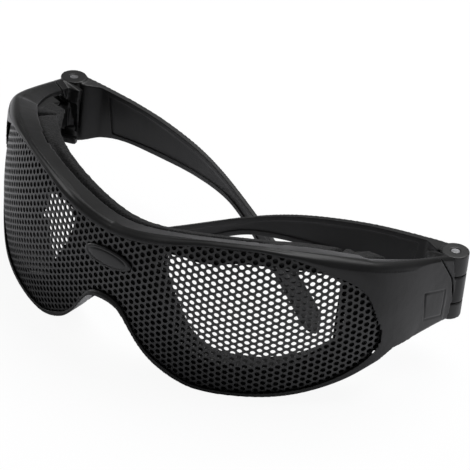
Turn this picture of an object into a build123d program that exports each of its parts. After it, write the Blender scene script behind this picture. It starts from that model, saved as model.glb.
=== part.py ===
from build123d import *
import math
import os

# Wraparound mesh safety goggles, folded, resting on the lower rim and the temple hooks.
# X runs across the face, Y from the front of the visor to the hinges, Z up.

# visor plan: distance along the sheet from the nose, and how it curves
plan_steps = 6
sheet_reach = 79.0
plan_angles = (0.0, 7.3, 15.3, 24.7, 36.0, 47.0, 56.0)
corner_angles = (66.0, 75.0, 81.0, 83.0)
corner_steps = (3.4, 3.4, 7.0, 24.0)
least_step = 1.2
barrel_radius = 107.0
bulge_level = 23.8
nose_level = 43.4

# front frame
lip_proud = 1.7
lip_wall = 1.5
lip_taper = 0.9
frame_depth = 8.7
flange = 1.9
rim_wall = 0.8
roof_fall = 0.30
nose_top = 47.5
crown_top = 60.0
roof_shares = ((0.0, 0.0), (17.0, 0.21), (30.0, 0.46), (42.0, 0.68), (52.0, 0.83), (62.0, 0.92), (90.0, 1.0))
keel_points = (
    (0.0, 21.9), (5.0, 20.8), (8.6, 16.8), (11.9, 11.8), (16.9, 6.2), (21.8, 3.0), (28.6, 0.4),
    (35.2, 0.1), (42.4, 0.8), (53.7, 2.7), (63.8, 6.9), (68.5, 10.2), (72.5, 14.0), (76.5, 16.4), (90.0, 16.6),
)
opening_top = (
    (0.0, 43.0), (14.5, 44.6), (28.6, 48.5), (35.2, 49.6), (43.6, 50.2), (50.6, 49.6), (55.2, 48.8),
    (62.0, 45.5), (66.4, 42.6), (70.2, 37.2), (72.0, 30.5), (73.0, 25.0),
)
opening_bottom = (
    (72.2, 18.0), (68.6, 12.6), (63.8, 8.6), (53.7, 4.3), (42.4, 2.2), (35.2, 1.5), (28.6, 1.9),
    (21.8, 4.9), (16.9, 7.9), (11.9, 13.3), (8.6, 18.6), (5.3, 22.5), (0.0, 23.8),
)
opening_depth = 40.0
panel_floor = ((38.0, 14.0), (43.0, 16.8), (53.0, 17.2), (68.2, 16.8))
seam_line = ((68.2, 16.8), (68.0, 24.0), (66.5, 32.0), (60.3, 42.6), (57.0, 48.0))

# spring latch cut in each side panel
latch_corners = ((54.4, 31.4), (63.7, 29.1), (63.3, 20.1), (55.2, 22.0))
latch_gap = 0.7

# mesh sheet
sheet_wall = 0.8
edge_gap = 0.3
sheet_rear = 42.0
hole_pitch = 5.5
hole_width = 3.9
hole_margin = 3.2

# badge on the bridge
badge_length = 17.4
badge_height = 7.2
badge_level = 36.5
badge_wall = 1.0
badge_seat = 0.1

# inner frame that clamps the sheet and carries the foam
carrier_wall = 1.8
carrier_depth = 5.7
eye_points = (
    (15.9, 40.8), (17.5, 32.7), (21.2, 25.8), (24.5, 19.4), (30.4, 13.7), (35.7, 12.3), (40.7, 12.2),
    (51.3, 14.0), (59.8, 19.3), (64.2, 25.8), (64.6, 34.3), (63.4, 40.4), (60.0, 44.0), (54.0, 45.6),
    (47.9, 46.4), (38.1, 45.6), (27.4, 43.6),
)
eye_lip = 1.4

# foam cushion
foam_gap = 0.3
foam_depth = 6.5
foam_band = 8.0
foam_reach = 48.0
foam_side = 57.0
brow_half = 55.0
nose_half = 13.0
brow_floor = 35.4
nose_ceiling = 30.0

# hinges
pin_x = 74.7
pin_y = 71.4
pin_radius = 1.3
pin_fit = 0.08
pin_sink = 0.2
ear_radius = 4.3
ear_top = 38.4
ear_split_top = 31.5
ear_split_bottom = 21.8
ear_bottom = 16.2
knuckle_gap = 0.3
swing_gap = 0.5
block_rear = 68.6
block_gap = 0.3
block_neck = 4.2
tongue_start = 56.2
tongue_low = 20.6
tongue_high = 30.2
tongue_wall = 2.4

# temples
temple_wall = 1.7
temple_depth = 5.2
channel_start = 10.0
channel_end = 104.0
hook_depth = 3.0
temple_path = (
    (-2.0, 0.0), (13.0, -0.2), (28.0, 1.4), (43.0, 5.2), (56.0, 10.0), (70.0, 16.4), (83.0, 22.6),
    (95.0, 29.6), (106.0, 36.2), (112.0, 40.0),
)
temple_top = (
    (-5.0, 38.4), (5.0, 37.8), (13.0, 36.6), (28.0, 34.6), (43.0, 32.4), (54.0, 30.4), (64.0, 27.6),
    (74.0, 23.8), (83.0, 20.2), (95.0, 15.8), (105.0, 12.0), (110.0, 9.4), (112.0, 6.0),
)
temple_bottom = (
    (111.0, 2.2), (108.0, 0.5), (105.0, 0.06), (101.0, 2.0), (95.0, 5.4), (83.0, 12.2), (73.0, 18.0),
    (66.0, 20.8), (58.0, 21.6), (45.0, 21.2), (30.0, 20.4), (15.0, 19.6), (8.0, 17.6), (4.0, 16.4), (-5.0, 16.2),
)
right_rest = 10.0

# end lugs of the inner frame, each held by a screw
carrier_reach = 55.0
screw_y = 51.0
screw_z = 36.6
screw_radius = 1.1
screw_fit = 0.05
screw_head = 2.0
screw_head_height = 1.2
lug_x = 67.0
screw_length = 7.8
boss_radius = 2.8
boss_length = 4.6

# the origin is on the ground under the middle of the folded goggles
origin_y = 36.9

overrun = 30.0
section_levels = (-2.0, 17.0, 36.0, 55.0)


def plan_nodes():
    """Points and headings of half of the sheet's plan, from the nose round to the hinge."""
    nodes = [(0.0, 0.0, 0.0)]
    step = sheet_reach / plan_steps
    legs = [(step, angle) for angle in plan_angles[1:]]
    legs = legs + list(zip(corner_steps, corner_angles))
    for length, angle in legs:
        x, y, before = nodes[-1]
        mean = math.radians((before + angle) / 2)
        nodes.append((x + length * math.cos(mean), y + length * math.sin(mean), angle))
    return nodes


def swell(level):
    """How far the barrel of the sheet stands out at a level, against the nose level."""
    crown = (nose_level - bulge_level) ** 2 / (2 * barrel_radius)
    return crown - (level - bulge_level) ** 2 / (2 * barrel_radius)


def plan_curve(offset, level):
    """The whole plan curve at a level, moved outward by an offset."""
    move = offset + swell(level)
    half = []
    for x, y, angle in plan_nodes():
        turn = math.radians(angle)
        point = (x + move * math.sin(turn), y - move * math.cos(turn), level)
        if half:
            # deep offsets crowd the corner, so points too close to the last one are passed over
            gain = (point[0] - half[-1][0]) * math.cos(turn) + (point[1] - half[-1][1]) * math.sin(turn)
            if gain < least_step:
                continue
        half.append(point)
    left = [(-x, y, z) for x, y, z in reversed(half[1:])]
    return Spline(left + half)


def wall(front, back, taper=0):
    """A tall curved wall between two offsets of the plan, whose front can draw in towards the ground."""
    sections = []
    low, high = section_levels[0], section_levels[2]
    for level in section_levels:
        drawn = max(0, (high - level) / (high - low))
        outer = plan_curve(front - taper * drawn, level)
        inner = plan_curve(back, level)
        ends = [Line(outer @ 0, inner @ 0), Line(outer @ 1, inner @ 1)]
        sections.append(Face(Wire([outer, inner] + ends)))
    return loft(sections)


def both_sides(points):
    """Adds the mirrored half to a list of points that starts on the middle plane."""
    return [(-x, z) for x, z in reversed(points[1:])] + list(points)


def roof(drop):
    """Everything under the sloping top face, lowered by a drop."""
    rise = crown_top - nose_top
    top = both_sides([(x, nose_top + share * rise - drop) for x, share in roof_shares])
    low = -overrun
    # the curve starts in front of the nose, where the falling face is still higher
    lead = overrun
    lifted = [(x, z + roof_fall * lead) for x, z in top]
    curve = Spline([(x, -lead, z) for x, z in lifted])
    right = lifted[-1][0]
    base = Polyline((right, -lead, lifted[-1][1]), (right, -lead, low), (-right, -lead, low), (-right, -lead, lifted[0][1]))
    face = Face(Wire([curve] + base.edges()))
    length = lead + 2 * nose_top
    return Solid.extrude(face, Vector(0, length, -roof_fall * length))


def keel(lift):
    """Everything over the lower rim, raised by a lift."""
    low = both_sides([(x, z + lift) for x, z in keel_points])
    curve = Spline([(x, -overrun, z) for x, z in low])
    right = low[-1][0]
    high = crown_top + overrun
    top = Polyline((right, -overrun, low[-1][1]), (right, -overrun, high), (-right, -overrun, high), (-right, -overrun, low[0][1]))
    face = Face(Wire([curve] + top.edges()))
    return Solid.extrude(face, Vector(0, 2 * overrun + 2 * nose_top, 0))


def side_elevation(points):
    """A prism with an outline in Y and Z that runs right across the goggles."""
    reach = 2 * pin_x
    face = Face(Wire.make_polygon([Vector(-reach, y, z) for y, z in points]))
    return Solid.extrude(face, Vector(2 * reach, 0, 0))


def panel_side(lift, trim):
    """The side view of the frame: open under the lenses, floor and seam at the side panels."""
    high = crown_top + overrun
    floor = [(y, z + lift) for y, z in panel_floor[:-1]]
    rear = [(y - trim, z) for y, z in seam_line]
    first = (rear[0][0], rear[0][1] + lift)
    start = [(-overrun, high), (-overrun, -overrun), (panel_floor[0][0], -overrun)]
    return side_elevation(start + floor + [first] + rear[1:] + [(rear[-1][0], high)])


def opening():
    """The one opening that both lenses and the nose share."""
    left_top = [(-x, z) for x, z in reversed(opening_top[1:])]
    left_bottom = [(-x, z) for x, z in reversed(opening_bottom[:-1])]
    loop = left_top + list(opening_top) + list(opening_bottom) + left_bottom
    curve = Spline([(x, -overrun, z) for x, z in loop], periodic=True)
    return Solid.extrude(Face(Wire([curve])), Vector(0, overrun + opening_depth, 0))


def latch_slot():
    """The gap round three edges of the spring latches, run through both side panels."""
    half = latch_gap / 2
    front_top, rear_top, rear_low, front_low = latch_corners
    outer = [
        (front_top[0], front_top[1] + half), (rear_top[0] + half, rear_top[1] + half),
        (rear_low[0] + half, rear_low[1] - half), (front_low[0], front_low[1] - half),
    ]
    inner = [
        (front_low[0], front_low[1] + half), (rear_low[0] - half, rear_low[1] + half),
        (rear_top[0] - half, rear_top[1] - half), (front_top[0], front_top[1] - half),
    ]
    return side_elevation(outer + inner)


def mirrored(shape, side):
    """The left shape as it is, or its mirror image for the right."""
    return shape if side > 0 else shape.mirror(Plane.YZ)


def across(radius, near, far):
    """A cylinder across the left side panel between two distances from the middle."""
    return Pos((near + far) / 2, screw_y, screw_z) * Rot(0, 90, 0) * Cylinder(radius, far - near)


def post(radius, low, high):
    """An upright cylinder on the pin axis between two levels."""
    return Pos(0, 0, (low + high) / 2) * Cylinder(radius, high - low)


def front_frame():
    """The moulded frame: a wall round the mesh, with a roof, a floor and side panels."""
    back = lip_proud - frame_depth
    body = wall(lip_proud, back, lip_taper) & roof(0) & keel(0) & panel_side(0, 0)
    room = wall(lip_proud - lip_wall, back - edge_gap) & roof(flange) & keel(rim_wall)
    room = room & panel_side(flange, -overrun)
    body = body - room - opening() - latch_slot()
    for side in (1, -1):
        body = body - mirrored(across(screw_radius + screw_fit, lug_x, lug_x + screw_length + screw_fit), side)
        body = body - Pos(side * pin_x, pin_y, 0) * post(ear_radius + swing_gap, -overrun, 2 * overrun)
        body = body - mirrored(neck(block_gap), side)
    return body


def sheet_blank():
    """The curved sheet before its holes are punched."""
    inset = flange + edge_gap
    blank = wall(0, -sheet_wall) & roof(inset) & keel(rim_wall + edge_gap) & panel_side(inset, 0)
    limit = Box(4 * pin_x, 2 * sheet_rear, 4 * pin_x)
    return blank & limit


def hole_spots():
    """Stations and levels of the holes: columns with every second one half a pitch up."""
    spots = []
    column_step = hole_pitch * math.sqrt(3) / 2
    columns = int(sheet_reach / column_step) + 1
    rows = int(crown_top / hole_pitch)
    for column in range(-columns, columns + 1):
        shift = hole_pitch / 2 if column % 2 else 0.0
        for row in range(1, rows):
            spots.append((column * column_step, row * hole_pitch + shift))
    return spots


def on_sheet(station, level):
    """Place and heading on the sheet at a distance from the nose."""
    nodes = plan_nodes()
    step = sheet_reach / plan_steps
    index = min(int(abs(station) / step), plan_steps - 1)
    share = abs(station) / step - index
    x0, y0, a0 = nodes[index]
    x1, y1, a1 = nodes[index + 1]
    angle = a0 + (a1 - a0) * share
    mean = math.radians((a0 + angle) / 2)
    x = x0 + share * step * math.cos(mean)
    y = y0 + share * step * math.sin(mean)
    turn = math.radians(angle)
    move = swell(level)
    side = -1 if station < 0 else 1
    return side * (x + move * math.sin(turn)), y - move * math.cos(turn), side * angle


def inside_opening(x, level):
    """Whether a hole keeps its margin from the opening's edge."""
    def height(points, where):
        ordered = sorted(points)
        for (xa, za), (xb, zb) in zip(ordered, ordered[1:]):
            if xa <= where <= xb:
                return za + (zb - za) * (where - xa) / (xb - xa)
        return nose_level
    reach = opening_top[-1][0] - hole_margin
    if abs(x) > reach:
        return False
    low = height(opening_bottom, abs(x)) + hole_margin
    high = height(opening_top, abs(x)) - hole_margin
    return low < level < high


def mesh_visor():
    """The perforated sheet."""
    sheet = sheet_blank()
    punches = []
    for station, level in hole_spots():
        x, y, angle = on_sheet(station, level)
        if not inside_opening(x, level):
            continue
        on_badge = (x / badge_length * 2) ** 2 + ((level - badge_level) / badge_height * 2) ** 2
        if on_badge < 1.7:
            continue
        plane = Plane(origin=(x, y, level), z_dir=(math.sin(math.radians(angle)), -math.cos(math.radians(angle)), 0))
        hole = plane * RegularPolygon(hole_width / 2, 6, major_radius=True)
        punches.append(extrude(hole, amount=2 * sheet_wall, both=True))
    return sheet - punches


def bridge_badge():
    """The bare raised oval on the mesh over the nose."""
    face = Plane.XZ * Ellipse(badge_length / 2, badge_height / 2)
    oval = extrude(Pos(0, 0, badge_level) * face, amount=overrun)
    badge = oval & wall(badge_seat + badge_wall, badge_seat)
    front = badge.faces().sort_by(Axis.Y)[0]
    return fillet(front.edges(), badge_wall / 2)


def eye_prism(grow):
    """A prism through one eye opening, grown by a margin."""
    middle_x = sum(x for x, z in eye_points) / len(eye_points)
    middle_z = sum(z for x, z in eye_points) / len(eye_points)
    loop = []
    for x, z in eye_points:
        away = math.hypot(x - middle_x, z - middle_z)
        share = 1 + grow / away
        loop.append((middle_x + (x - middle_x) * share, middle_z + (z - middle_z) * share))
    curve = Spline([(x, -overrun, z) for x, z in loop], periodic=True)
    solid = Solid.extrude(Face(Wire([curve])), Vector(0, 3 * overrun, 0))
    return [solid, solid.mirror(Plane.YZ)]


def inner_frame():
    """The frame behind the sheet, with two eye openings and a seat for the foam."""
    front = -sheet_wall - edge_gap
    back = front - carrier_depth
    inset = flange + edge_gap
    low = rim_wall + edge_gap
    body = wall(front, back) & roof(inset) & keel(low) & panel_side(inset, carrier_wall)
    room = wall(front - carrier_wall, back - edge_gap) & roof(inset + carrier_wall) & keel(low + carrier_wall)
    for big in eye_prism(eye_lip):
        room = room - big
    body = body - room
    for small in eye_prism(0):
        body = body - small
    body = body & Box(4 * pin_x, 2 * carrier_reach, 4 * pin_x)
    for side in (1, -1):
        body = body + mirrored(across(boss_radius, lug_x, lug_x + boss_length), side)
        body = body - mirrored(across(screw_radius + screw_fit, lug_x - sheet_wall, lug_x + screw_length), side)
    return body


def lug_screw():
    """The left screw that holds an end lug of the inner frame to the side panel."""
    shank = across(screw_radius, lug_x - screw_head_height, lug_x + screw_length - screw_fit)
    return shank + across(screw_head, lug_x - screw_head_height, lug_x)


def foam_ring():
    """The whole cushion ring behind the frames, before it is parted."""
    front = lip_proud - frame_depth - foam_gap
    back = front - foam_depth
    inset = edge_gap
    ring = wall(front, back) & roof(inset) & keel(inset) & panel_side(inset, foam_gap)
    hollow = roof(foam_band) & keel(foam_band) & Box(2 * foam_side, 4 * pin_x, 4 * pin_x)
    reach = Box(4 * pin_x, 2 * foam_reach, 4 * overrun)
    return (ring - hollow) & reach


def foam_pieces():
    """The cushion parted into brow, sides and nose."""
    ring = foam_ring()
    far = 4 * pin_x
    over = Pos(0, 0, brow_floor + far / 2)
    under = Pos(0, 0, nose_ceiling - far / 2)
    brow = ring & (over * Box(2 * brow_half, far, far))
    nose = ring & (under * Box(2 * nose_half, far, far))
    sides = ring - Pos(0, 0, -foam_gap) * over * Box(2 * (brow_half + foam_gap), far, far)
    sides = sides - Box(2 * (nose_half + foam_gap), far, far)
    left = sides & (Pos(far / 2, 0, 0) * Box(far, far, far))
    return brow, left, left.mirror(Plane.YZ), nose


def temple_band(out_near, out_far, in_near, in_far):
    """A tall strip that follows the temple's plan, tapering towards the hook."""
    middle = Spline([(-inward, along, 0) for along, inward in temple_path])
    count = len(temple_path)
    outer = []
    inner = []
    for index in range(count):
        share = index / (count - 1)
        heading = middle % share
        normal = Vector(heading.Y, -heading.X, 0)
        outer.append(middle @ share + normal * (out_near + (out_far - out_near) * share))
        inner.append(middle @ share - normal * (in_near + (in_far - in_near) * share))
    first = Spline(outer)
    second = Spline(inner)
    face = Face(Wire([first, second, Line(first @ 0, second @ 0), Line(first @ 1, second @ 1)]))
    return Solid.extrude(Pos(0, 0, -overrun) * face, Vector(0, 0, 3 * overrun))


def temple_side(inset, start, end):
    """A prism with the temple's side view, between two distances from the pin."""
    top = Spline([(0, y, z - inset) for y, z in temple_top if start <= y <= end])
    bottom = Spline([(0, y, z + inset) for y, z in temple_bottom if start <= y <= end])
    outline = Wire([top, bottom, Line(top @ 1, bottom @ 0), Line(bottom @ 1, top @ 0)])
    return Solid.extrude(Pos(-3 * overrun, 0, 0) * Face(outline), Vector(4 * overrun, 0, 0))


def temple():
    """One temple in its open position on the left side, with its pin axis at the origin."""
    near = temple_depth / 2
    far = hook_depth / 2
    body = temple_band(near, far, near, far) & temple_side(0, -overrun, 4 * overrun)
    body = body + post(ear_radius, ear_bottom, ear_top)
    pocket = temple_band(near - temple_wall, far - temple_wall, overrun, overrun)
    body = body - (pocket & temple_side(temple_wall, channel_start, channel_end))
    body = body - post(ear_radius + swing_gap, ear_split_bottom, ear_split_top)
    return body - post(pin_radius + pin_fit, -overrun, 2 * overrun)


def neck(grow):
    """The arm that carries the left knuckle, or the room for it when grown by a gap."""
    low = ear_split_bottom + knuckle_gap - grow
    high = ear_split_top - knuckle_gap + grow
    start = block_rear - block_neck / 2 - grow
    return Pos(pin_x, (start + pin_y) / 2, (low + high) / 2) * Box(block_neck + 2 * grow, pin_y - start, high - low)


def hinge_block():
    """The left hinge block: a plug behind the latch, a body past the seam and the knuckle."""
    back = lip_proud - frame_depth
    top = seam_line[-1][1]
    seam = [(y + block_gap, z) for y, z in seam_line]
    body = wall(lip_proud, back, lip_taper) & roof(0)
    body = body & side_elevation(seam + [(block_rear, top), (block_rear, seam_line[0][1])])
    body = body & keel(0) & (Pos(2 * pin_x, 0, 0) * Box(4 * pin_x, 4 * pin_x, 4 * pin_x))
    front = lip_proud - lip_wall - block_gap
    plug = wall(front, front - tongue_wall) & side_elevation([
        (tongue_start, tongue_low), (block_rear, tongue_low), (block_rear, tongue_high), (tongue_start, tongue_high),
    ])
    plug = plug & (Pos(2 * pin_x, 0, 0) * Box(4 * pin_x, 4 * pin_x, 4 * pin_x))
    low = ear_split_bottom + knuckle_gap
    high = ear_split_top - knuckle_gap
    knuckle = Pos(pin_x, pin_y, 0) * post(ear_radius, low, high)
    room = Pos(pin_x, pin_y, 0) * post(ear_radius + swing_gap, -overrun, 2 * overrun)
    bore = Pos(pin_x, pin_y, 0) * post(pin_radius + pin_fit, -overrun, 2 * overrun)
    return (body + plug - room) + neck(0) + knuckle - bore


def hinge_pin():
    """The left hinge pin, its ends just under the faces of the ears."""
    return Pos(pin_x, pin_y, 0) * post(pin_radius, ear_bottom + pin_sink, ear_top - pin_sink)


def place_temple(shape, angle):
    """Folds an open left temple about its pin and sets it on the frame."""
    return Pos(pin_x, pin_y, 0) * Rot(0, 0, angle) * shape


def write(name, shape):
    """Writes one node, with the origin under the middle of the whole object."""
    export_step(Pos(0, -origin_y, 0) * shape, "parts/" + name + ".step")


def main():
    os.makedirs("parts", exist_ok=True)
    write("front_frame", front_frame())
    write("mesh_visor", mesh_visor())
    write("bridge_badge", bridge_badge())
    write("inner_frame", inner_frame())
    screw = lug_screw()
    write("lug_screws", Compound([screw, screw.mirror(Plane.YZ)]))
    brow, left, right, nose = foam_pieces()
    write("foam_brow", brow)
    write("foam_side_left", left)
    write("foam_side_right", right)
    write("foam_nose", nose)
    open_temple = temple()
    block = hinge_block()
    write("hinge_block_left", block)
    write("hinge_block_right", block.mirror(Plane.YZ))
    write("hinge_pin_left", hinge_pin())
    write("hinge_pin_right", hinge_pin().mirror(Plane.YZ))
    write("temple_left", place_temple(open_temple, 90))
    write("temple_right", place_temple(open_temple, 90 - right_rest).mirror(Plane.YZ))


main()
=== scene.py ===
import math

import bmesh
import bpy
import numpy as np
from mathutils import Matrix, Vector


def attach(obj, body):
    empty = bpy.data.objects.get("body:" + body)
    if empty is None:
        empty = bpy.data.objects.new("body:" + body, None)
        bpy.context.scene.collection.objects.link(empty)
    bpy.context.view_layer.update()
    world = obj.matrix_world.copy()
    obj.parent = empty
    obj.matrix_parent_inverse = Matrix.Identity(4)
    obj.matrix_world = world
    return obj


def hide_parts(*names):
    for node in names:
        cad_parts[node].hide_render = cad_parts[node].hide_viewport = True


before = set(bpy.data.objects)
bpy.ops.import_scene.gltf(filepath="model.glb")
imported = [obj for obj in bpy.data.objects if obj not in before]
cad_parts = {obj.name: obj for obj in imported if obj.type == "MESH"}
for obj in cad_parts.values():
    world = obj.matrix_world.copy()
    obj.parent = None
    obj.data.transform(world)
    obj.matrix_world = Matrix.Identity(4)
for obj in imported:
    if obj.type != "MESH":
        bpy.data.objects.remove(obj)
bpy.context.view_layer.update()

MM = 0.001

# Points that are placed on the sheet at a time
CHUNK = 20000

# Voxel and rounds of smoothing of the pieces that are meshed again
FRAME_MESH = (0.3 * MM, 8)
BLOCK_MESH = (0.3 * MM, 2)
CARRIER_MESH = (0.45 * MM, 2)
TEMPLE_MESH = (0.28 * MM, 6)
FOAM_MESH = (0.5 * MM, 12)

# Plan of half of the sheet: the stretches from the nose round to the hinge, and the heading before
# and after each; then the radius of its barrel, the level where that stands out most, the level that
# the plan is drawn at and where the nose is along y
STRETCHES = (79 / 6 * MM,) * 6 + (3.4 * MM, 3.4 * MM, 7 * MM, 24 * MM)
HEADINGS = (0.0, 7.3, 15.3, 24.7, 36.0, 47.0, 56.0, 66.0, 75.0, 81.0, 83.0)
BARREL = 107 * MM
BULGE = 23.8 * MM
NOSE = 43.4 * MM
NOSE_FRONT = -36.9 * MM

# Moulded frame: how far its lip stands out, the level of its roof at the nose, the rise to the sides
# in millimetres, its fall to the back, and the share of the rise at places along x in millimetres
LIP = 1.7 * MM
ROOF_NOSE = 47.5 * MM
ROOF_RISE = 12.5
ROOF_FALL = 0.30
ROOF_SHARES = (
    (0.0, 0.0), (17.0, 0.21), (30.0, 0.46), (42.0, 0.68), (52.0, 0.83), (62.0, 0.92), (90.0, 1.0),
)

# The outer top edge's radius, and the fall of the roof's sides towards the wearer: its slope, how far
# in it goes on, the headings over which it sets in and the heights below the roof over which it does
CREST_ROUND = 3.0 * MM
BANK = 0.22
BANK_DEPTH = 9 * MM
BANK_TURN = (42, 68)
BANK_HEIGHT = (-9 * MM, -2 * MM)

# Slimmer side panels: the face that stays, the share that the rest draws in, and where along y
SLIM_FACE = 0.2 * MM
SLIM_SHARE = 0.5
SLIM_START = (34 * MM, 58 * MM)
SLIM_END = (65.4 * MM, 66.4 * MM)

# Bevel of the lip round the sheet: its depth, its width at the middle and the growth to the sides in
# millimetres, where along x it grows, and the offsets over which the lip's front face sets in
BEVEL_DEPTH = 0.45 * MM
BEVEL_WIDTH = (0.8, 2.4)
BEVEL_GROWTH = (50 * MM, 68 * MM)
BEVEL_FACE = (0.5 * MM, 1.2 * MM)

# Top edge of the opening: how much higher it stands than the solids', where along x that ends, the
# levels and the distances from the edge over which the lip follows, and the offsets of its face
TOP_RAISE = 1.4 * MM
TOP_ENDS = (44 * MM, 66 * MM)
TOP_LEVELS = (39 * MM, 42 * MM)
TOP_REACH = (0.8 * MM, 4.5 * MM)
TOP_FACE = (-0.1 * MM, 0.3 * MM)

# Latch in the side panels: its corners in y and z, half the width and the depth of its groove, the
# offsets of the face that it is cut in, and the plate that closes the solid's seams behind it
LATCH = ((54.4, 31.4), (63.7, 29.1), (63.3, 20.1), (55.2, 22.0))
LATCH_GROOVE = (0.48 * MM, 0.6 * MM)
LATCH_FACE = (1.0 * MM, 1.4 * MM)
LATCH_HEADING = 60
PLATE_MARGIN = 1.2 * MM
PLATE_FRONT = LIP - 0.55 * MM
PLATE_BACK = 0.2 * MM
PLATE_ROWS = 9
PLATE_COLUMNS = 13

# Outline of the opening in x and z, from the nose over the top and round to the nose again
OPENING = (
    (0.0, 43.0), (14.5, 44.6), (28.6, 48.5), (35.2, 49.6), (43.6, 50.2), (50.6, 49.6), (55.2, 48.8),
    (62.0, 45.5), (66.4, 42.6), (70.2, 37.2), (72.0, 30.5), (73.0, 25.0), (72.2, 18.0), (68.6, 12.6),
    (63.8, 8.6), (53.7, 4.3), (42.4, 2.2), (35.2, 1.5), (28.6, 1.9), (21.8, 4.9), (16.9, 7.9),
    (11.9, 13.3), (8.6, 18.6), (5.3, 22.5), (0.0, 23.8),
)

# Punched sheet: distance between its holes, their width across corners, its thickness, how far it
# lies under its place, how far it goes under the lip and the level above which its edge is raised
PITCH = 2.2 * MM
HOLE = 1.62 * MM
SHEET_WALL = 0.6 * MM
SHEET_SINK = 0.1 * MM
SHEET_LAP = 0.7 * MM
SHEET_TOP = 38 * MM

# Pattern of the sheet: rows from the plan's level, share of the plan that the columns cover, corners of a
# cell and its hole, and how far past the edge in pitches a cell's middle may lie
SHEET_ROWS = (-20, 6)
SHEET_SHARE = 0.75
CORNERS = 12
EDGE_SHARE = 0.62

# Places per millimetre at which corners are shared, the distances at which the mesh is cleaned, and
# the rounds and the least slope with which cells are drawn in to the edge
SHARED_PLACES = 2000
WELD = 0.002 * MM
SHORTEST = 0.02 * MM
DRAW_ROUNDS = 12
LEAST_SLOPE = 0.3

# Eye openings of the inner frame: outline, thickness left, the offset at which the solid's walls end,
# and how near the outline they are thinned
EYE = (
    (15.9, 40.8), (17.5, 32.7), (21.2, 25.8), (24.5, 19.4), (30.4, 13.7), (35.7, 12.3), (40.7, 12.2),
    (51.3, 14.0), (59.8, 19.3), (64.2, 25.8), (64.6, 34.3), (63.4, 40.4), (60.0, 44.0), (54.0, 45.6),
    (47.9, 46.4), (38.1, 45.6), (27.4, 43.6),
)
EYE_PLATE = 3.0 * MM
EYE_WALL_END = -6.2 * MM
EYE_NEAR = (2.0 * MM, 3.0 * MM)

# Hinges and temples: place of the pin, the line of a temple and half its thickness at both ends, its
# outer wall, its turn at rest in degrees, what is left of its flanges' depth, and where that sets in
PIN = (74.7 * MM, 34.5 * MM)
TEMPLE_PATH = (
    (-2.0, 0.0), (13.0, -0.2), (28.0, 1.4), (43.0, 5.2), (56.0, 10.0), (70.0, 16.4), (83.0, 22.6),
    (95.0, 29.6), (106.0, 36.2), (112.0, 40.0),
)
TEMPLE_HALF = (2.6 * MM, 1.5 * MM)
TEMPLE_WALL = 1.7 * MM
TEMPLE_TURN = {"temple_left": 90.0, "temple_right": 80.0}
FLANGE_SHARE = 0.15
FLANGE_START = (4.5 * MM, 11 * MM)

# Foam strip under the eyes: its foot, how much of its height above that sinks, and where along x and
# z that sets in and ends
FOAM_FOOT = 3 * MM
FOAM_SINK = 0.5
UNDER_START = (20 * MM, 28 * MM)
UNDER_END = (57 * MM, 63 * MM)
UNDER_LEVELS = (16 * MM, 24 * MM)

# Vent between the brow bar and the foam: its depth, and the heights, offsets and x of its ends
VENT_DEPTH = 2.2 * MM
VENT_HEIGHT = (-4 * MM, -1.5 * MM)
VENT_OFFSET = (-10.4 * MM, -8.6 * MM)
VENT_END = (34 * MM, 44 * MM)

# Side foam: how far out it stays as it is, what is left of its thickness further in, and where along
# x, y and z its inner face moves
FOAM_OUTER = 69 * MM
FOAM_SHARE = 0.5
FOAM_BLEND = (46 * MM, 61 * MM)
FOAM_REAR = (26 * MM, 42 * MM)
FOAM_LEVELS = (13 * MM, 20 * MM)

# Pores of the foam: their size, depth and level
PORE_SIZE = 0.8 * MM
PORE_DEPTH = 0.22 * MM
PORE_LEVEL = 0.6

# Badge on the bridge: half its length and height, its level, its thickness, how much faster its rim
# narrows in height than in length, the share of its flatter middle, and its profile from the rim in
# as shares of its length and of its thickness
BADGE_HALF = (8.6 * MM, 2.95 * MM)
BADGE_LEVEL = 35.9 * MM
BADGE_WALL = 1.0 * MM
BADGE_RIM = 0.7
BADGE_NARROW = 1.4
BADGE_MIDDLE = 0.83
BADGE_TIP = 1.12
BADGE_PROFILE = (
    (1.0, 0.0), (1.0, 0.55), (0.97, 0.8), (0.9, 0.95), (0.84, 0.95), (0.81, 0.8), (0.78, 0.95),
    (0.6, 1.05), (0.3, 1.1),
)
BADGE_CORNERS = 64

# Noise: its roughness, and the values that are mapped to a material's two ends
NOISE_ROUGH = 0.6
NOISE_RANGE = (0.3, 0.7)

# Plastics: darkest and lightest grey, least and most roughness, specular level
PLASTICS = {
    "frame_plastic": (0.0055, 0.0085, 0.34, 0.46, 0.27),
    "temple_plastic": (0.0055, 0.008, 0.38, 0.5, 0.4),
    "carrier_plastic": (0.004, 0.007, 0.5, 0.66, 0.3),
    "badge_plastic": (0.007, 0.010, 0.32, 0.42, 0.4),
}

# Floor, room light, what the lamps aim at, and the camera: its sensor, how near it sees, the focal
# length and width of the photograph in pixels, its place and the directions of its right and back
FLOOR_HALF = 3.0
FLOOR_WHITE = 0.93
ROOM_LIGHT = 0.17
TARGET = Vector((0, 0, 0.02))
WHITE = (1, 1, 1, 1)
SENSOR = 36.0
NEAREST_VIEW = 0.05
FOCAL_PIXELS = 2495.1
WIDTH_PIXELS = 470
CAMERA_PLACE = (0.3749, -0.4872 + NOSE_FRONT, 0.4366)
CAMERA_RIGHT = (0.7942, 0.6023, 0.0805)
CAMERA_BACK = (0.4750, -0.6980, 0.5358)


# Curves and places on the sheet


def plan_table(parts=12):
    """Rows of distance along the sheet, x, y and heading for half of the plan."""
    rows = [(0.0, 0.0, 0.0, 0.0)]
    for stretch, before, after in zip(STRETCHES, HEADINGS, HEADINGS[1:]):
        for part in range(parts):
            s, x, y, _ = rows[-1]
            angle = math.radians(before + (after - before) * (part + 0.5) / parts)
            step = stretch / parts
            end = before + (after - before) * (part + 1) / parts
            rows.append((s + step, x + step * math.cos(angle), y + step * math.sin(angle), end))
    return np.array(rows)


PLAN = plan_table()


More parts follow.
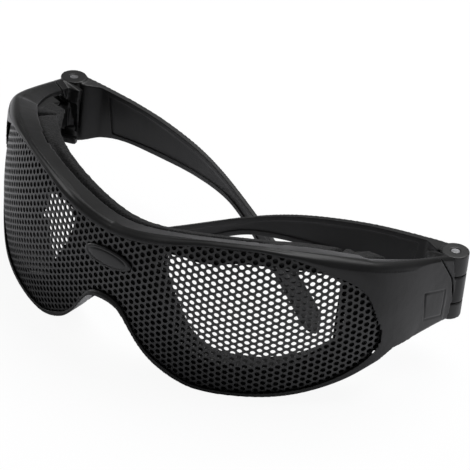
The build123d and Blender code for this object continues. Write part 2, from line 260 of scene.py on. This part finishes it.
def swell(z):
    """How far the barrel of the sheet stands out at a level."""
    return ((NOSE - BULGE) ** 2 - (z - BULGE) ** 2) / (2 * BARREL)


def on_sheet(s, z, offset):
    """Points at stations, levels and offsets outward from the sheet's face."""
    a = np.abs(s)
    x = np.interp(a, PLAN[:, 0], PLAN[:, 1])
    y = np.interp(a, PLAN[:, 0], PLAN[:, 2])
    turn = np.radians(np.interp(a, PLAN[:, 0], PLAN[:, 3]))
    out = swell(z) + offset
    return np.stack([np.sign(s) * (x + out * np.sin(turn)), y - out * np.cos(turn) + NOSE_FRONT, z], -1)


def sheet_place(points):
    """Heading and outward offset of points against the sheet's face."""
    x = np.abs(points[:, 0])
    y = points[:, 1] - NOSE_FRONT
    heading = np.empty(len(x))
    offset = np.empty(len(x))
    for start in range(0, len(x), CHUNK):
        part = slice(start, start + CHUNK)
        gap = (x[part, None] - PLAN[:, 1]) ** 2 + (y[part, None] - PLAN[:, 2]) ** 2
        near = PLAN[np.argmin(gap, axis=1)]
        turn = np.radians(near[:, 3])
        heading[part] = near[:, 3]
        offset[part] = (x[part] - near[:, 1]) * np.sin(turn) - (y[part] - near[:, 2]) * np.cos(turn)
    return heading, offset - swell(points[:, 2])


def moved_out(points, heading, out, lift):
    """Points moved outward from the sheet and up."""
    turn = np.radians(heading)
    side = np.where(points[:, 0] < 0, -1.0, 1.0)
    return points + np.stack([side * out * np.sin(turn), -out * np.cos(turn), lift], -1)


def through(points, count, closed=False):
    """A smooth line through points given in millimetres."""
    p = np.array(points) * MM
    n = len(p)
    out = []
    for i in range(n if closed else n - 1):
        p0 = p[i - 1] if closed or i else 2 * p[0] - p[1]
        p3 = p[(i + 2) % n] if closed or i + 2 < n else 2 * p[-1] - p[-2]
        p1, p2 = p[i], p[(i + 1) % n]
        for t in np.linspace(0, 1, count, endpoint=False):
            line = 2 * p1 + (p2 - p0) * t
            bend = (2 * p0 - 5 * p1 + 4 * p2 - p3) * t ** 2 + (3 * p1 - p0 - 3 * p2 + p3) * t ** 3
            out.append(0.5 * (line + bend))
    if not closed:
        out.append(p[-1])
    return np.array(out)


def smooth_step(value, low, high):
    """0 below low, 1 above high and a soft rise between."""
    t = np.clip((value - low) / (high - low), 0, 1)
    return t * t * (3 - 2 * t)


ROOF_LINE = through([(x, share * ROOF_RISE) for x, share in ROOF_SHARES], count=16)


def roof_level(points):
    """Level of the frame's sloping top above points."""
    rise = np.interp(np.abs(points[:, 0]), ROOF_LINE[:, 0], ROOF_LINE[:, 1])
    return ROOF_NOSE + rise - ROOF_FALL * (points[:, 1] - NOSE_FRONT)


def opening_line(grow=0.0):
    """The opening's outline in x and z, grown by a margin."""
    left = [(-x, z) for x, z in reversed(OPENING[1:-1])]
    line = through(list(OPENING) + left, count=6, closed=True)
    along = np.roll(line, -1, 0) - np.roll(line, 1, 0)
    along /= np.linalg.norm(along, axis=1, keepdims=True)
    return line + np.stack([-along[:, 1], along[:, 0]], -1) * grow


def sheet_line():
    """The sheet's cut edge: the opening's outline with its raised top and the part under the lip."""
    line = opening_line(SHEET_LAP)
    line[:, 1] += raised(line[:, 0]) * (line[:, 1] > SHEET_TOP)
    return line


def inside(points, line):
    """Which points lie in a closed outline."""
    result = np.zeros(len(points), bool)
    x, z = points[:, 0], points[:, 1]
    for (xa, za), (xb, zb) in zip(line, np.roll(line, -1, 0)):
        crosses = (za > z) != (zb > z)
        if crosses.any():
            result ^= crosses & (x < (xb - xa) * (z - za) / (zb - za) + xa)
    return result


def nearest(points, line):
    """The nearest places on a closed outline, and how far off they are."""
    best = np.full(len(points), np.inf)
    found = points.copy()
    for start, end in zip(line, np.roll(line, -1, 0)):
        run = end - start
        t = np.clip(((points - start) @ run) / (run @ run), 0, 1)
        place = start + t[:, None] * run
        gap = np.linalg.norm(points - place, axis=1)
        closer = gap < best
        best[closer] = gap[closer]
        found[closer] = place[closer]
    return found, best


# Meshes


def mesh_object(name, vertices, faces, material, smooth=True):
    """A new mesh piece."""
    data = bpy.data.meshes.new(name)
    data.from_pydata([tuple(v) for v in vertices], [], faces)
    piece = bpy.data.objects.new(name, data)
    bpy.context.scene.collection.objects.link(piece)
    data.materials.append(material)
    data.polygons.foreach_set("use_smooth", [smooth] * len(data.polygons))
    data.update()
    return piece


def node_points(piece):
    """A piece's vertices as an array."""
    points = np.empty(len(piece.data.vertices) * 3)
    piece.data.vertices.foreach_get("co", points)
    return points.reshape(-1, 3)


def set_points(piece, points):
    """Puts a piece's vertices at the given places."""
    piece.data.vertices.foreach_set("co", points.ravel())
    piece.data.update()


def dressed(node, name, material, meshing, shape, fill=()):
    """A finely meshed stand-in for a node, softened at its edges and shaped by a function."""
    voxel, soften = meshing
    piece = bpy.data.objects.new(name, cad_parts[node].data.copy())
    bpy.context.scene.collection.objects.link(piece)
    work = bmesh.new()
    work.from_mesh(piece.data)
    for vertices, faces in fill:
        corners = [work.verts.new(tuple(v)) for v in vertices]
        for face in faces:
            work.faces.new([corners[i] for i in face])
    work.to_mesh(piece.data)
    work.free()
    remesh = piece.modifiers.new("remesh", "REMESH")
    remesh.mode = "VOXEL"
    remesh.voxel_size = voxel
    smooth = piece.modifiers.new("soften", "SMOOTH")
    smooth.factor = 0.5
    smooth.iterations = soften
    depsgraph = bpy.context.evaluated_depsgraph_get()
    baked = bpy.data.meshes.new_from_object(piece.evaluated_get(depsgraph))
    piece.modifiers.clear()
    piece.data = baked
    baked.materials.clear()
    baked.materials.append(material)
    set_points(piece, shape(node_points(piece)))
    baked.polygons.foreach_set("use_smooth", [True] * len(baked.polygons))
    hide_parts(node)
    return piece


# Materials


def node_material(name):
    """A new material with its node tree and shader."""
    material = bpy.data.materials.new(name)
    material.use_nodes = True
    tree = material.node_tree
    return material, tree, tree.nodes["Principled BSDF"]


def noise(tree, scale, detail=3.0):
    """Noise in the object's own space."""
    coords = tree.nodes.new("ShaderNodeTexCoord")
    texture = tree.nodes.new("ShaderNodeTexNoise")
    texture.inputs["Scale"].default_value = scale
    texture.inputs["Detail"].default_value = detail
    texture.inputs["Roughness"].default_value = NOISE_ROUGH
    tree.links.new(coords.outputs["Object"], texture.inputs["Vector"])
    return texture.outputs["Fac"]


def spread(tree, source, low, high):
    """A noise mapped to a range."""
    node = tree.nodes.new("ShaderNodeMapRange")
    node.inputs["From Min"].default_value = NOISE_RANGE[0]
    node.inputs["From Max"].default_value = NOISE_RANGE[1]
    node.inputs["To Min"].default_value = low
    node.inputs["To Max"].default_value = high
    tree.links.new(source, node.inputs["Value"])
    return node.outputs["Result"]


def tint(tree, source, dark, light, start=NOISE_RANGE[0], end=NOISE_RANGE[1]):
    """A noise mapped to a grey between two levels."""
    node = tree.nodes.new("ShaderNodeValToRGB")
    node.color_ramp.elements[0].position = start
    node.color_ramp.elements[1].position = end
    node.color_ramp.elements[0].color = (dark, dark, dark * 1.03, 1)
    node.color_ramp.elements[1].color = (light, light, light * 1.03, 1)
    tree.links.new(source, node.inputs["Fac"])
    return node.outputs["Color"]


def bump(tree, shader, height, strength, distance, before=None):
    """A bump from a height, on top of an earlier one."""
    node = tree.nodes.new("ShaderNodeBump")
    node.inputs["Strength"].default_value = strength
    node.inputs["Distance"].default_value = distance
    tree.links.new(height, node.inputs["Height"])
    if before is not None:
        tree.links.new(before.outputs["Normal"], node.inputs["Normal"])
    tree.links.new(node.outputs["Normal"], shader.inputs["Normal"])
    return node


def moulded(name):
    """Matte moulded plastic: two sizes of grain, with a slow change of tone and gloss."""
    dark, light, rough_low, rough_high, specular = PLASTICS[name]
    material, tree, shader = node_material(name)
    slow = noise(tree, scale=60, detail=4)
    fine = noise(tree, scale=2600, detail=2)
    mid = noise(tree, scale=700, detail=3)
    tree.links.new(tint(tree, slow, dark, light), shader.inputs["Base Color"])
    tree.links.new(spread(tree, slow, rough_low, rough_high), shader.inputs["Roughness"])
    shader.inputs["Specular IOR Level"].default_value = specular
    first = bump(tree, shader, fine, strength=0.5, distance=0.04 * MM)
    bump(tree, shader, mid, strength=0.25, distance=0.06 * MM, before=first)
    return material


def coated(name):
    """Black coating over punched metal."""
    material, tree, shader = node_material(name)
    slow = noise(tree, scale=45, detail=4)
    fine = noise(tree, scale=1800, detail=2)
    tree.links.new(tint(tree, slow, dark=0.007, light=0.012), shader.inputs["Base Color"])
    tree.links.new(spread(tree, fine, low=0.34, high=0.5), shader.inputs["Roughness"])
    shader.inputs["Specular IOR Level"].default_value = 0.5
    bump(tree, shader, fine, strength=0.4, distance=0.03 * MM)
    return material


def foam_material(name):
    """Open-cell foam: painted shade darkens the pores' hollows, with paler struts between."""
    material, tree, shader = node_material(name)
    coords = tree.nodes.new("ShaderNodeTexCoord")
    cells = tree.nodes.new("ShaderNodeTexVoronoi")
    cells.inputs["Scale"].default_value = 1700
    tree.links.new(coords.outputs["Object"], cells.inputs["Vector"])
    slow = noise(tree, scale=120, detail=3)
    pores = cells.outputs["Distance"]
    # Painted shade: the base colour is darkest in the pores' hollows and lighter on the struts between
    # them
    colour = tint(tree, pores, dark=0.002, light=0.017, start=0.1, end=0.65)
    tree.links.new(colour, shader.inputs["Base Color"])
    tree.links.new(spread(tree, slow, low=0.88, high=1.0), shader.inputs["Roughness"])
    shader.inputs["Specular IOR Level"].default_value = 0.12
    shader.inputs["Sheen Weight"].default_value = 0.08
    bump(tree, shader, pores, strength=0.7, distance=0.25 * MM)
    return material


def steel_material(name):
    """Turned steel with fine wear."""
    material, tree, shader = node_material(name)
    fine = noise(tree, scale=1400, detail=3)
    slow = noise(tree, scale=300, detail=2)
    tree.links.new(tint(tree, slow, dark=0.22, light=0.4), shader.inputs["Base Color"])
    shader.inputs["Metallic"].default_value = 1.0
    tree.links.new(spread(tree, fine, low=0.28, high=0.45), shader.inputs["Roughness"])
    bump(tree, shader, fine, strength=0.2, distance=0.03 * MM)
    return material


frame_plastic = moulded("frame_plastic")
temple_plastic = moulded("temple_plastic")
carrier_plastic = moulded("carrier_plastic")
badge_plastic = moulded("badge_plastic")
mesh_coating = coated("mesh_coating")
foam_cells = foam_material("foam_cells")
steel = steel_material("steel")

for node in ("hinge_pin_left", "hinge_pin_right", "lug_screws"):
    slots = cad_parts[node].data.materials
    slots.clear()
    slots.append(steel)


# The moulded frame and the hinge blocks


def raised(x):
    """How far the top edge of the opening stands above the solids' one."""
    return TOP_RAISE * (1 - smooth_step(np.abs(x), *TOP_ENDS))


def banked(heading, offset, height):
    """How far the sides of the frame fall towards the wearer."""
    turn = smooth_step(heading, *BANK_TURN)
    near_top = smooth_step(height, *BANK_HEIGHT)
    return -BANK * turn * near_top * np.clip(LIP - offset, 0, BANK_DEPTH)


def slimmed(points, offset):
    """How far the inner part of a side panel draws in to the outer wall on its way to the hinge."""
    y = points[:, 1] - NOSE_FRONT
    share = SLIM_SHARE * smooth_step(y, *SLIM_START) * (1 - smooth_step(y, *SLIM_END))
    return np.maximum(SLIM_FACE - offset, 0) * share


def crest(offset, height):
    """The moves that round the outer top edge."""
    u = offset - (LIP - CREST_ROUND)
    v = height + CREST_ROUND
    reach = np.hypot(u, v)
    over = (u > 0) & (v > 0) & (reach > CREST_ROUND)
    scale = np.where(over, CREST_ROUND / np.maximum(reach, CREST_ROUND), 1.0) - 1
    return u * scale, v * scale


def roof_moves(points):
    """Headings and offsets, and the moves that round the crest, bank the roof and slim the sides."""
    heading, offset = sheet_place(points)
    height = points[:, 2] - roof_level(points)
    out, lift = crest(offset, height)
    lift = lift + banked(heading, offset, height)
    out = out + slimmed(points, offset)
    return heading, offset, out, lift


def frame_shape(points):
    """Shapes the roof, bevels the lip, raises the opening's top edge and cuts the latch."""
    heading, offset, out, lift = roof_moves(points)
    _, gap = nearest(points[:, [0, 2]], opening_line())
    growth = smooth_step(np.abs(points[:, 0]), *BEVEL_GROWTH)
    width = (BEVEL_WIDTH[0] + BEVEL_WIDTH[1] * growth) * MM
    front = smooth_step(offset, *BEVEL_FACE)
    out = out - BEVEL_DEPTH * (1 - smooth_step(gap, 0, width)) * front
    over = smooth_step(points[:, 2], *TOP_LEVELS) * (1 - smooth_step(gap, *TOP_REACH))
    lift = lift + raised(points[:, 0]) * over * smooth_step(offset, *TOP_FACE)
    side = np.stack([points[:, 1] - NOSE_FRONT, points[:, 2]], -1)
    _, seam = nearest(side, np.array(LATCH) * MM)
    groove = LATCH_GROOVE[1] * (1 - smooth_step(seam, 0, LATCH_GROOVE[0]))
    out = out - groove * smooth_step(offset, *LATCH_FACE) * (heading > LATCH_HEADING)
    return moved_out(points, heading, out, lift)


def block_shape(points):
    """Shapes the block's roof with the frame's."""
    heading, _, out, lift = roof_moves(points)
    return moved_out(points, heading, out, lift)


def latch_fill(side):
    """A curved plate inside the panel's wall that closes the solid's open latch seams."""
    rows, columns = PLATE_ROWS, PLATE_COLUMNS
    low = np.array(LATCH).min(0) * MM - PLATE_MARGIN
    high = np.array(LATCH).max(0) * MM + PLATE_MARGIN
    stations = np.interp(np.linspace(low[0], high[0], rows), PLAN[:, 2], PLAN[:, 0])
    levels = np.linspace(low[1] - PLATE_MARGIN, high[1], columns)
    s, z = [v.ravel() for v in np.meshgrid(side * stations, levels, indexing="ij")]
    front = on_sheet(s, z, PLATE_FRONT)
    back = on_sheet(s, z, PLATE_BACK)
    count = rows * columns
    faces = []
    for i in range(rows - 1):
        for j in range(columns - 1):
            a = i * columns + j
            faces.append((a, a + columns, a + columns + 1, a + 1))
            faces.append((a + count, a + count + 1, a + count + columns + 1, a + count + columns))
    loop = list(range(columns))
    loop += [i * columns + columns - 1 for i in range(1, rows)]
    loop += [(rows - 1) * columns + j for j in range(columns - 2, -1, -1)]
    loop += [i * columns for i in range(rows - 2, 0, -1)]
    for a, b in zip(loop, loop[1:] + loop[:1]):
        faces.append((a, b, b + count, a + count))
    if side < 0:
        faces = [face[::-1] for face in faces]
    return np.concatenate([front, back]), faces


latches = (latch_fill(-1), latch_fill(1))
shell = dressed("front_frame", "frame_shell", frame_plastic, FRAME_MESH, frame_shape, latches)
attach(shell, "frame")
for side in ("left", "right"):
    block = dressed("hinge_block_" + side, "hinge_housing_" + side, frame_plastic, BLOCK_MESH, block_shape)
    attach(block, "frame")


# The inner frame


def carrier_shape(points):
    """Banks the inner frame with the outer one and keeps its eye rims thin."""
    heading, offset = sheet_place(points)
    height = points[:, 2] - roof_level(points)
    lift = banked(heading, offset, height)
    line = through(EYE, count=6, closed=True)
    _, gap = nearest(np.stack([np.abs(points[:, 0]), points[:, 2]], -1), line)
    near = 1 - smooth_step(gap, *EYE_NEAR)
    deep = np.maximum(-EYE_PLATE - offset, 0) * (offset > EYE_WALL_END)
    return moved_out(points, heading, deep * near, lift)


carrier = dressed("inner_frame", "inner_rim", carrier_plastic, CARRIER_MESH, carrier_shape)
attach(carrier, "frame")


# The temples


def temple_shape(node):
    """A function that makes a temple's flanges shallower."""
    side = -1.0 if node.endswith("right") else 1.0
    angle = math.radians(TEMPLE_TURN[node])
    path = through(TEMPLE_PATH, count=10)
    slope = np.gradient(path[:, 1], path[:, 0])

    def shape(points):
        x = points[:, 0] * side - PIN[0]
        y = points[:, 1] - PIN[1]
        across = x * math.cos(angle) + y * math.sin(angle)
        along = -x * math.sin(angle) + y * math.cos(angle)
        lean = np.arctan(np.interp(along, path[:, 0], slope))
        depth = (across + np.interp(along, path[:, 0], path[:, 1])) * np.cos(lean)
        share = np.clip((along - path[0, 0]) / (path[-1, 0] - path[0, 0]), 0, 1)
        floor = TEMPLE_HALF[0] + (TEMPLE_HALF[1] - TEMPLE_HALF[0]) * share - TEMPLE_WALL
        thin = smooth_step(along, *FLANGE_START)
        gain = np.maximum(floor - depth, 0) * (1 - FLANGE_SHARE) * thin
        across = across + gain * np.cos(lean)
        along = along + gain * np.sin(lean)
        x = across * math.cos(angle) - along * math.sin(angle)
        y = across * math.sin(angle) + along * math.cos(angle)
        return np.stack([side * (x + PIN[0]), y + PIN[1], points[:, 2]], -1)

    return shape


for node in ("temple_left", "temple_right"):
    arm = dressed(node, node + "_arm", temple_plastic, TEMPLE_MESH, temple_shape(node))
    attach(arm, node)


# The punched sheet


def punched_sheet():
    """The sheet with every hole: close columns, every second one half a pitch up."""
    line = sheet_line()
    column_step = PITCH * math.sqrt(3) / 2
    columns = int(PLAN[-1, 0] * SHEET_SHARE / column_step)
    turns = np.radians(360 / CORNERS * np.arange(CORNERS))
    ring = np.stack([np.cos(turns), np.sin(turns)], -1) * HOLE / 2
    corner = PITCH / math.sqrt(3)
    radii = np.where(np.arange(CORNERS) % 2, corner * math.cos(math.radians(30)), corner)
    cell = np.stack([np.cos(turns), np.sin(turns)], -1) * radii[:, None]
    middles = []
    for column in range(-columns, columns + 1):
        up = PITCH / 2 if column % 2 else 0.0
        for row in range(*SHEET_ROWS):
            middles.append((column * column_step, NOSE + row * PITCH + up))
    middles = np.array(middles)
    flat = on_sheet(middles[:, 0], middles[:, 1], 0.0)[:, [0, 2]]
    _, gap = nearest(flat, line)
    middles = middles[inside(flat, line) | (gap < PITCH * EDGE_SHARE)]
    places = []
    index = {}

    def place(s, z):
        key = (round(s / MM * SHARED_PLACES), round(z / MM * SHARED_PLACES))
        if key not in index:
            index[key] = len(places)
            places.append((s, z))
        return index[key]

    quads = []
    for s, z in middles:
        outer = [place(s + a, z + b) for a, b in cell]
        inner = [place(s + a, z + b) for a, b in ring]
        for k in range(CORNERS):
            n = (k + 1) % CORNERS
            quads.append((inner[k], outer[k], outer[n], inner[n]))
    places = drawn_in(np.array(places), line)
    front = on_sheet(places[:, 0], places[:, 1], -SHEET_SINK)
    back = on_sheet(places[:, 0], places[:, 1], -SHEET_SINK - SHEET_WALL)
    count = len(places)
    faces = []
    edges = set()
    for quad in quads:
        faces.append(quad[::-1])
        faces.append(tuple(i + count for i in quad))
        edges.update(zip(quad, quad[1:] + quad[:1]))
    faces += [(i, j, j + count, i + count) for i, j in sorted(edges) if (j, i) not in edges]
    piece = mesh_object("visor_sheet", np.concatenate([front, back]), faces, mesh_coating, smooth=False)
    work = bmesh.new()
    work.from_mesh(piece.data)
    bmesh.ops.remove_doubles(work, verts=work.verts, dist=WELD)
    bmesh.ops.dissolve_degenerate(work, dist=SHORTEST, edges=work.edges)
    bmesh.ops.recalc_face_normals(work, faces=work.faces)
    work.to_mesh(piece.data)
    work.free()
    return piece


def drawn_in(places, line):
    """Places on the sheet with those past its cut edge drawn in to that edge."""
    flat = on_sheet(places[:, 0], places[:, 1], 0.0)[:, [0, 2]]
    out = ~inside(flat, line)
    edge, _ = nearest(flat[out], line)
    s = np.abs(places[out, 0])
    for _ in range(DRAW_ROUNDS):
        turn = np.radians(np.interp(s, PLAN[:, 0], PLAN[:, 3]))
        x = np.interp(s, PLAN[:, 0], PLAN[:, 1]) + swell(edge[:, 1]) * np.sin(turn)
        s = s + (np.abs(edge[:, 0]) - x) / np.maximum(np.cos(turn), LEAST_SLOPE)
    places[out, 0] = np.sign(edge[:, 0]) * s
    places[out, 1] = edge[:, 1]
    return places


sheet = punched_sheet()
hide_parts("mesh_visor")
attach(sheet, "frame")


# The badge


def badge():
    """A bare domed oval with a shallow groove inside its rim."""
    around = BADGE_CORNERS
    turns = 2 * math.pi * np.arange(around) / around
    rings = []
    for share, rise in BADGE_PROFILE:
        narrow = 1 - (1 - share) * BADGE_NARROW if share > BADGE_RIM else share * BADGE_MIDDLE
        s = BADGE_HALF[0] * share * np.cos(turns)
        z = BADGE_LEVEL + BADGE_HALF[1] * narrow * np.sin(turns)
        rings.append(on_sheet(s, z, rise * BADGE_WALL))
    tip = on_sheet(np.zeros(1), np.array([BADGE_LEVEL]), BADGE_TIP * BADGE_WALL)
    points = np.concatenate(rings + [tip])
    faces = []
    for ring in range(len(BADGE_PROFILE) - 1):
        for k in range(around):
            n = (k + 1) % around
            a = ring * around
            faces.append((a + k, a + n, a + around + n, a + around + k))
    last = (len(BADGE_PROFILE) - 1) * around
    for k in range(around):
        faces.append((last + k, last + (k + 1) % around, len(points) - 1))
    faces.append(tuple(range(around))[::-1])
    return mesh_object("badge_cover", points, faces, badge_plastic)


cover = badge()
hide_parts("bridge_badge")
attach(cover, "frame")


# The foam cushion


def foam_shape(points):
    """Banks the foam with the frame, keeps its strip under the eyes low and sinks the vent."""
    heading, offset = sheet_place(points)
    height = points[:, 2] - roof_level(points)
    across = np.abs(points[:, 0])
    under = smooth_step(across, *UNDER_START) * (1 - smooth_step(across, *UNDER_END))
    under = under * (1 - smooth_step(points[:, 2], *UNDER_LEVELS)) * FOAM_SINK
    sink = -np.maximum(points[:, 2] - FOAM_FOOT, 0) * under
    vent = smooth_step(height, *VENT_HEIGHT) * smooth_step(offset, *VENT_OFFSET)
    sink = sink - VENT_DEPTH * vent * (1 - smooth_step(across, *VENT_END))
    return moved_out(points, heading, np.zeros(len(points)), banked(heading, offset, height) + sink)


def foam_side(points):
    """Banks the side foam and draws its inner face out, clear of the eye openings."""
    moved = foam_shape(points)
    across = np.abs(moved[:, 0])
    front = 1 - smooth_step(moved[:, 1] - NOSE_FRONT, *FOAM_REAR)
    front = front * smooth_step(moved[:, 2], *FOAM_LEVELS)
    out = np.maximum(FOAM_OUTER - across, 0) * (1 - FOAM_SHARE)
    out = out * smooth_step(across, *FOAM_BLEND) * front
    moved[:, 0] += np.sign(moved[:, 0]) * out
    return moved


def foam_piece(node):
    """A foam strip with soft edges and a cut, porous surface."""
    shape = foam_side if "side" in node else foam_shape
    piece = dressed(node, node + "_cushion", foam_cells, FOAM_MESH, shape)
    texture = bpy.data.textures.new(node + "_pores", "CLOUDS")
    texture.noise_scale = PORE_SIZE
    texture.noise_depth = 1
    pores = piece.modifiers.new("pores", "DISPLACE")
    pores.texture = texture
    pores.texture_coords = "LOCAL"
    pores.strength = PORE_DEPTH
    pores.mid_level = PORE_LEVEL
    depsgraph = bpy.context.evaluated_depsgraph_get()
    baked = bpy.data.meshes.new_from_object(piece.evaluated_get(depsgraph))
    piece.modifiers.clear()
    piece.data = baked
    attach(piece, "frame")
    return piece


for node in ("foam_brow", "foam_side_left", "foam_side_right", "foam_nose"):
    foam_piece(node)


# Floor, light and camera


def floor_material():
    """A pale floor that the camera sees as white, apart from the object's shadow."""
    material, tree, shader = node_material("floor")
    colour = tint(tree, noise(tree, scale=8), dark=0.88, light=0.92)
    tree.links.new(colour, shader.inputs["Base Color"])
    shader.inputs["Roughness"].default_value = 0.9
    shader.inputs["Specular IOR Level"].default_value = 0.1
    glow = tree.nodes.new("ShaderNodeEmission")
    path = tree.nodes.new("ShaderNodeLightPath")
    share = tree.nodes.new("ShaderNodeMath")
    share.operation = "MULTIPLY"
    share.inputs[1].default_value = FLOOR_WHITE
    mix = tree.nodes.new("ShaderNodeMixShader")
    tree.links.new(path.outputs["Is Camera Ray"], share.inputs[0])
    tree.links.new(share.outputs[0], mix.inputs[0])
    tree.links.new(shader.outputs[0], mix.inputs[1])
    tree.links.new(glow.outputs[0], mix.inputs[2])
    tree.links.new(mix.outputs[0], tree.nodes["Material Output"].inputs["Surface"])
    return material


corners = [(x * FLOOR_HALF, y * FLOOR_HALF, 0) for x, y in ((-1, -1), (1, -1), (1, 1), (-1, 1))]
mesh_object("floor", corners, [(0, 1, 2, 3)], floor_material(), smooth=False)


def studio_world():
    """A soft white room that the camera sees as plain white."""
    world = bpy.data.worlds.new("studio")
    bpy.context.scene.world = world
    world.use_nodes = True
    tree = world.node_tree
    room = tree.nodes["Background"]
    room.inputs["Color"].default_value = WHITE
    room.inputs["Strength"].default_value = ROOM_LIGHT
    white = tree.nodes.new("ShaderNodeBackground")
    white.inputs["Color"].default_value = WHITE
    path = tree.nodes.new("ShaderNodeLightPath")
    mix = tree.nodes.new("ShaderNodeMixShader")
    tree.links.new(path.outputs["Is Camera Ray"], mix.inputs[0])
    tree.links.new(room.outputs[0], mix.inputs[1])
    tree.links.new(white.outputs[0], mix.inputs[2])
    tree.links.new(mix.outputs[0], tree.nodes["World Output"].inputs["Surface"])


def softbox(name, place, size, power):
    """A soft rectangular lamp that faces the object."""
    lamp = bpy.data.lights.new(name, "AREA")
    lamp.shape = "RECTANGLE"
    lamp.size, lamp.size_y = size
    lamp.energy = power
    holder = bpy.data.objects.new(name, lamp)
    bpy.context.scene.collection.objects.link(holder)
    holder.location = place
    holder.rotation_euler = (TARGET - Vector(place)).to_track_quat("-Z", "Y").to_euler()


studio_world()
softbox("top", place=(0.1, 0.35, 0.85), size=(0.9, 0.6), power=9.6)
softbox("front", place=(0.1, -0.9, 0.6), size=(0.6, 0.4), power=0.3)
softbox("left", place=(-0.9, -0.1, 0.35), size=(0.5, 0.4), power=2.2)

# A camera fitted to the rows of holes in the photograph's mesh
lens = bpy.data.cameras.new("camera")
lens.sensor_width = SENSOR
lens.sensor_fit = "HORIZONTAL"
lens.lens = FOCAL_PIXELS * SENSOR / WIDTH_PIXELS
lens.clip_start = NEAREST_VIEW
camera = bpy.data.objects.new("camera", lens)
bpy.context.scene.collection.objects.link(camera)
right = Vector(CAMERA_RIGHT).normalized()
back = Vector(CAMERA_BACK)
back = (back - right * back.dot(right)).normalized()
turn = Matrix((right, back.cross(right), back)).transposed()
camera.matrix_world = Matrix.Translation(CAMERA_PLACE) @ turn.to_4x4()
bpy.context.scene.camera = camera
bpy.context.scene.view_settings.view_transform = "Standard"
